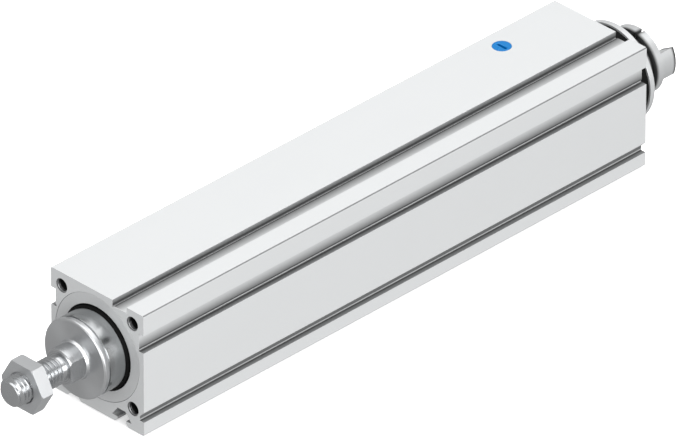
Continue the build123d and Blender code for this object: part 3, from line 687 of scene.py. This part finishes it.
def end_threads(name, face, inwards, radius):
    """A thread sleeve in each of the four holes of an end face, lying on the hole's wall."""
    low, high = sorted((face + inwards * END_THREAD_SETBACK, face + inwards * END_THREAD_LENGTH))
    bm = bmesh.new()
    outer_r = radius - END_THREAD_GAP
    helix_strip(bm, low, high, outer_r, outer_r - END_THREAD_HEIGHT, END_THREAD_PITCH, steps=24)
    for place in (low, high):
        rim = end_loop(bm, place)
        lip = bmesh.ops.extrude_edge_only(bm, edges=rim)
        for vert in verts_of(lip["geom"]):
            stretch = radius / math.hypot(vert.co.y, vert.co.z)
            vert.co.y *= stretch
            vert.co.z *= stretch
    first = bm.verts[:] + bm.edges[:] + bm.faces[:]
    for y in (-HOLE_PLACE, HOLE_PLACE):
        for z in (-HOLE_PLACE, HOLE_PLACE):
            copy = bmesh.ops.duplicate(bm, geom=first)
            bmesh.ops.translate(bm, vec=(0, y, z), verts=verts_of(copy["geom"]))
    bmesh.ops.delete(bm, geom=verts_of(first), context="VERTS")
    finished(bm, name, "housing", FINISHES["tapped_thread"], smooth_angle=50)


# Rod end

RIM_LENGTH = 1.55 * MM
RIM_CHAMFER = 0.35 * MM
JOINT_WIDTH = 0.4 * MM
JOINT_DEPTH = 0.5 * MM
SPIGOT_R = 7.95 * MM
NECK_BOSS_R = 5.45 * MM
NECK_BOSS_LENGTH = 0.9 * MM
NECK_BOSS_TAPER = 0.2 * MM
NECK_R = 5.0 * MM
NECK_LENGTH = 5.35 * MM
NECK_CHAMFER = 0.45 * MM
SPANNER_FLATS = 8.2 * MM
UNDERCUT_R = 3.3 * MM
UNDERCUT_LENGTH = 1.4 * MM
THREAD_CREST_R = 3.99 * MM
THREAD_ROOT_R = 3.25 * MM
THREAD_PITCH = 1.25 * MM
THREAD_CHAMFER = 0.8 * MM
THREAD_RUNOUT = 0.5 * MM
HEAD_ROUNDING = 0.12 * MM
NECK_ROUNDING = 0.08 * MM

ROD_FACE = ROD_FRONT + JOINT_WIDTH + RIM_LENGTH
BOSS_FRONT = ROD_FACE + NECK_BOSS_LENGTH
NECK_FRONT = ROD_FACE + NECK_LENGTH
THREAD_REAR = NECK_FRONT + UNDERCUT_LENGTH

# The neck's ends, hidden in the boss and in the thread, and the boss's face under the neck
NECK_START = BOSS_FRONT - 0.5 * MM
NECK_END = THREAD_REAR + 0.1 * MM
UNDER_NECK_R = NECK_R - 0.05 * MM
UNDER_NECK_MIDDLE = BOSS_FRONT - 0.02 * MM


def rod_head():
    """The disc that closes the hollow rod, with its joint groove, chamfer and boss."""
    outline = [
        (PLUG_LOW[0], 0),
        (PLUG_LOW[0], SPIGOT_R),
        (ROD_FRONT, SPIGOT_R),
        (ROD_FRONT, ROD_R - JOINT_DEPTH),
        (ROD_FRONT + JOINT_WIDTH, ROD_R - JOINT_DEPTH),
        (ROD_FRONT + JOINT_WIDTH, ROD_R),
        (ROD_FACE - RIM_CHAMFER, ROD_R),
        (ROD_FACE, ROD_R - RIM_CHAMFER),
        (ROD_FACE, NECK_BOSS_R),
        (BOSS_FRONT, NECK_BOSS_R - NECK_BOSS_TAPER),
        (BOSS_FRONT, UNDER_NECK_R),
        (UNDER_NECK_MIDDLE, 0),
    ]
    bm = bmesh.new()
    turned(bm, rounded(outline, HEAD_ROUNDING), steps=128)
    head = finished(bm, "rod_head", "rod", FINISHES["turned_head"], smooth_angle=25)
    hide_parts("rod_end_plug")


def rod_neck():
    """The neck between the head and the thread, with two spanner flats."""
    outline = [
        (NECK_START, 0),
        (NECK_START, NECK_R),
        (NECK_FRONT - NECK_CHAMFER, NECK_R),
        (NECK_FRONT, NECK_R - NECK_CHAMFER),
        (NECK_FRONT, UNDERCUT_R),
        (NECK_END, UNDERCUT_R),
        (NECK_END, 0),
    ]
    bm = bmesh.new()
    turned(bm, rounded(outline, NECK_ROUNDING), steps=96)
    for side in (-1, 1):
        geometry = bm.verts[:] + bm.edges[:] + bm.faces[:]
        cut = bmesh.ops.bisect_plane(
            bm, geom=geometry, dist=CUT_TOLERANCE, plane_co=(0, side * SPANNER_FLATS / 2, 0),
            plane_no=(0, side, 0), clear_outer=True,
        )
        rim = [item for item in cut["geom_cut"] if isinstance(item, bmesh.types.BMEdge)]
        bmesh.ops.edgeloop_fill(bm, edges=rim)
    finished(bm, "rod_neck", "rod", FINISHES["turned_steel"], smooth_angle=25)


def rod_thread():
    """The rod end's real thread, with both ends chamfered."""
    bm = bmesh.new()
    helix_strip(bm, THREAD_REAR, THREAD_TIP, THREAD_CREST_R, THREAD_ROOT_R, THREAD_PITCH, steps=64)
    for vert in bm.verts:
        radius = math.hypot(vert.co.y, vert.co.z)
        past_chamfer = vert.co.x - (THREAD_TIP - THREAD_CHAMFER)
        before_runout = THREAD_REAR + THREAD_RUNOUT - vert.co.x
        limit = THREAD_CREST_R - max(0, past_chamfer, before_runout)
        if radius > limit:
            vert.co.y *= limit / radius
            vert.co.z *= limit / radius
    bmesh.ops.edgeloop_fill(bm, edges=end_loop(bm, THREAD_TIP))
    bmesh.ops.edgeloop_fill(bm, edges=end_loop(bm, THREAD_REAR))
    finished(bm, "rod_thread", "rod", FINISHES["turned_steel"], smooth_angle=35)


# Jam nut

NUT_ACROSS_FLATS = 13.0 * MM
NUT_BEVEL_R = 7.05 * MM
NUT_BEVEL_SLOPE = math.tan(math.radians(30))
NUT_EDGE = 0.1 * MM
NUT_MOUTH_R = 4.35 * MM
NUT_COUNTERSINK = 0.45 * MM
NUT_STEPS = 72


def hexagon_radius(angle):
    """The distance from the axis to the hexagon's side, with a corner on the Y axis."""
    sector = math.radians(60)
    return NUT_ACROSS_FLATS / 2 / math.cos((angle % sector) - sector / 2)


def jam_nut():
    """A hexagon nut, bevelled at both ends, with a countersunk bore."""
    rear, front = NUT_LOW[0], NUT_HIGH[0]
    rings = []
    bm = bmesh.new()

    def ring_at(place, radius_of):
        verts = []
        for k in range(NUT_STEPS):
            angle = math.tau * k / NUT_STEPS
            radius = radius_of(angle)
            verts.append(bm.verts.new((place(radius), radius * math.cos(angle), radius * math.sin(angle))))
        rings.append(verts)

    def bevel_start(angle):
        return min(NUT_BEVEL_R, hexagon_radius(angle) - NUT_EDGE)

    def bevel_depth(radius):
        return max(NUT_EDGE, radius - NUT_BEVEL_R) * NUT_BEVEL_SLOPE

    ring_at(lambda r: rear + NUT_COUNTERSINK, lambda a: NUT_MOUTH_R - NUT_COUNTERSINK)
    ring_at(lambda r: rear, lambda a: NUT_MOUTH_R)
    ring_at(lambda r: rear, bevel_start)
    ring_at(lambda r: rear + bevel_depth(r), hexagon_radius)
    ring_at(lambda r: front - bevel_depth(r), hexagon_radius)
    ring_at(lambda r: front, bevel_start)
    ring_at(lambda r: front, lambda a: NUT_MOUTH_R)
    ring_at(lambda r: front - NUT_COUNTERSINK, lambda a: NUT_MOUTH_R - NUT_COUNTERSINK)
    for first, second in zip(rings, rings[1:] + rings[:1]):
        for k in range(NUT_STEPS):
            after = (k + 1) % NUT_STEPS
            bm.faces.new((first[k], first[after], second[after], second[k]))
    zinc = "zinc_plated_steel"
    nut = finished(bm, "hexagon_nut", "rod", FINISHES[zinc], smooth_angle=20)
    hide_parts("jam_nut")


# Wiper

WIPER_CLEARANCE_R = ROD_R + 0.04 * MM
WIPER_CORNER = 0.15 * MM
WIPER_FACE_DROP = 0.02 * MM
WIPER_GROOVE_DEPTH = 0.10 * MM
WIPER_GROOVE_R = WIPER_HIGH[1] - 0.30 * MM
LIP_ROOT_R = ROD_R + 0.50 * MM
LIP_TIP_R = ROD_R + 0.40 * MM
LIP_SHOULDER = 0.85 * MM
LIP_LENGTH = 1.00 * MM
LIP_ROUNDING = 0.06 * MM


def wiper_lip():
    """The wiper's outer ring and its lip that slopes towards the rod."""
    rear, front = WIPER_LOW[0], WIPER_HIGH[0]
    outer = WIPER_HIGH[1]
    outline = [
        (rear, WIPER_CLEARANCE_R),
        (rear, outer),
        (front - WIPER_CORNER, outer),
        (front, outer - WIPER_CORNER),
        (front - WIPER_FACE_DROP, WIPER_GROOVE_R),
        (front - WIPER_GROOVE_DEPTH, LIP_ROOT_R),
        (front + LIP_SHOULDER, LIP_TIP_R),
        (front + LIP_LENGTH, WIPER_CLEARANCE_R),
        (rear, WIPER_CLEARANCE_R),
    ]
    bm = bmesh.new()
    turned(bm, rounded(outline, LIP_ROUNDING), steps=128)
    lip = finished(bm, "wiper_lip", "housing", FINISHES["black_rubber"], smooth_angle=40)
    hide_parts("wiper_ring")


dress_frame()
bevelled("profile_housing", "housing_skin", "housing", "anodised_profile", FINE_BEVEL)
end_threads("front_end_threads", HOUSING_FRONT, -1, FRONT_HOLE_R)
end_threads("rear_end_threads", HOUSING_REAR, 1, REAR_HOLE_R)
rod_head()
rod_neck()
rod_thread()
jam_nut()
wiper_lip()
bevelled("filler_plug", "filler_screw", "housing", "blue_plastic", BROAD_BEVEL)
bevelled("piston_rod", "rod_tube", "rod", "polished_steel", BROAD_BEVEL)
bevelled("front_bearing_cap", "front_cap", "housing", "machined_aluminium", FINE_BEVEL)
bevelled("rear_bearing_cap", "rear_cap", "housing", "machined_aluminium", BROAD_BEVEL)
bevelled("spigot_seal", "spigot_band", "housing", "black_rubber", SEAL_BEVEL)
bevelled("coupling_hub", "clamping_hub", "screw", "machined_aluminium", BROAD_BEVEL, "machined_hub")
bevelled("hub_clamp_screw", "clamping_screw", "screw", "black_oxide_steel", FINE_BEVEL)
pale_floor()
studio()
studio_camera()
